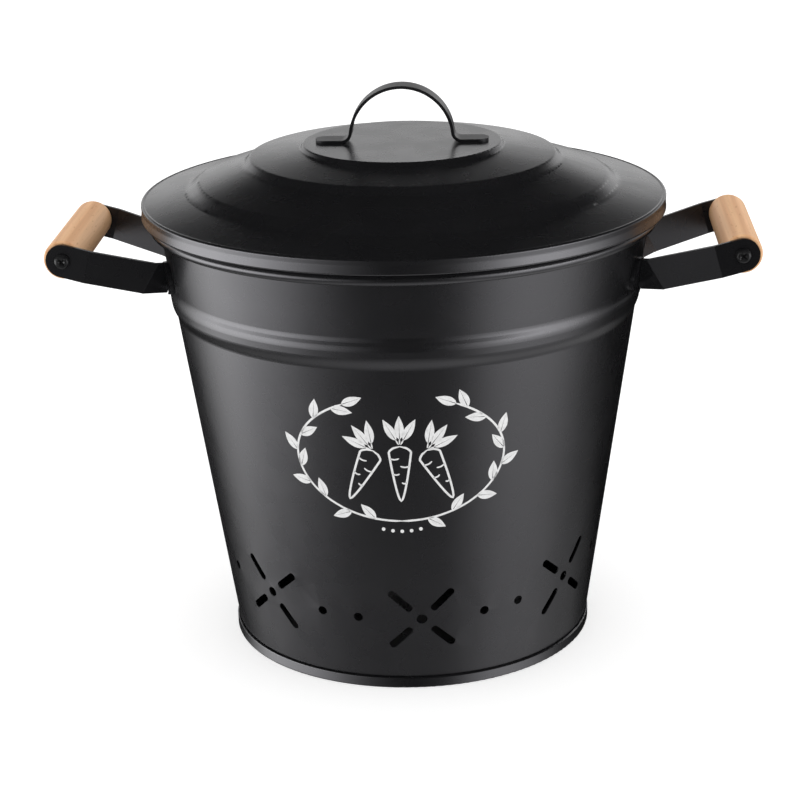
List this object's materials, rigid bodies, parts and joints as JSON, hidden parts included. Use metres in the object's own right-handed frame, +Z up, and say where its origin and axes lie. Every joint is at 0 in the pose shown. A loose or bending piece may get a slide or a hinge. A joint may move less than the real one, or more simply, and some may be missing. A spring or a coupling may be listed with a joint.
{
  "type": "vegetable storage bin",
  "caption": "Round tapered steel bin with a stepped lift-off lid, a strap handle on top and two side handles with wooden grips.",
  "frame": {"origin": "centre of the foot, at the level of the floor", "axes": "+Z up, the front with the vents and the print faces -Y, the two carrying handles point to +X and -X"},
  "size_m": [0.3746, 0.28, 0.303],
  "materials": {
    "powder_coat": "charcoal-black satin powder coat over pressed steel sheet",
    "grip_wood": "pale beech, smooth turned and clear matt lacquered",
    "screw_black": "black coated steel screw",
    "print_ink": "off-white screen print on the powder coat"
  },
  "bodies": {
    "bin": {"body_front_panel": "powder_coat", "body_back_panel": "powder_coat", "base_pan": "powder_coat", "right_front_handle_arm": "powder_coat", "right_rear_handle_arm": "powder_coat", "left_front_handle_arm": "powder_coat", "left_rear_handle_arm": "powder_coat"},
    "lid": {"lid_shell": "powder_coat", "lid_collar": "powder_coat", "lid_handle": "powder_coat"},
    "right_handle": {"right_grip": "grip_wood", "right_front_grip_screw": "screw_black", "right_rear_grip_screw": "screw_black"},
    "left_handle": {"left_grip": "grip_wood", "left_front_grip_screw": "screw_black", "left_rear_grip_screw": "screw_black"}
  },
  "joints": [
    {"name": "lid_lift", "type": "slide", "parent": "bin", "child": "lid", "axis": [0, 0, 1], "range_m": [0, 0.06]},
    {"name": "right_grip_spin", "type": "hinge", "parent": "bin", "child": "right_handle", "pos_m": [0.177, 0, 0.2206], "axis": [0, 1, 0], "continuous": true},
    {"name": "left_grip_spin", "type": "hinge", "parent": "bin", "child": "left_handle", "pos_m": [-0.177, 0, 0.2206], "axis": [0, 1, 0], "continuous": true}
  ]
}
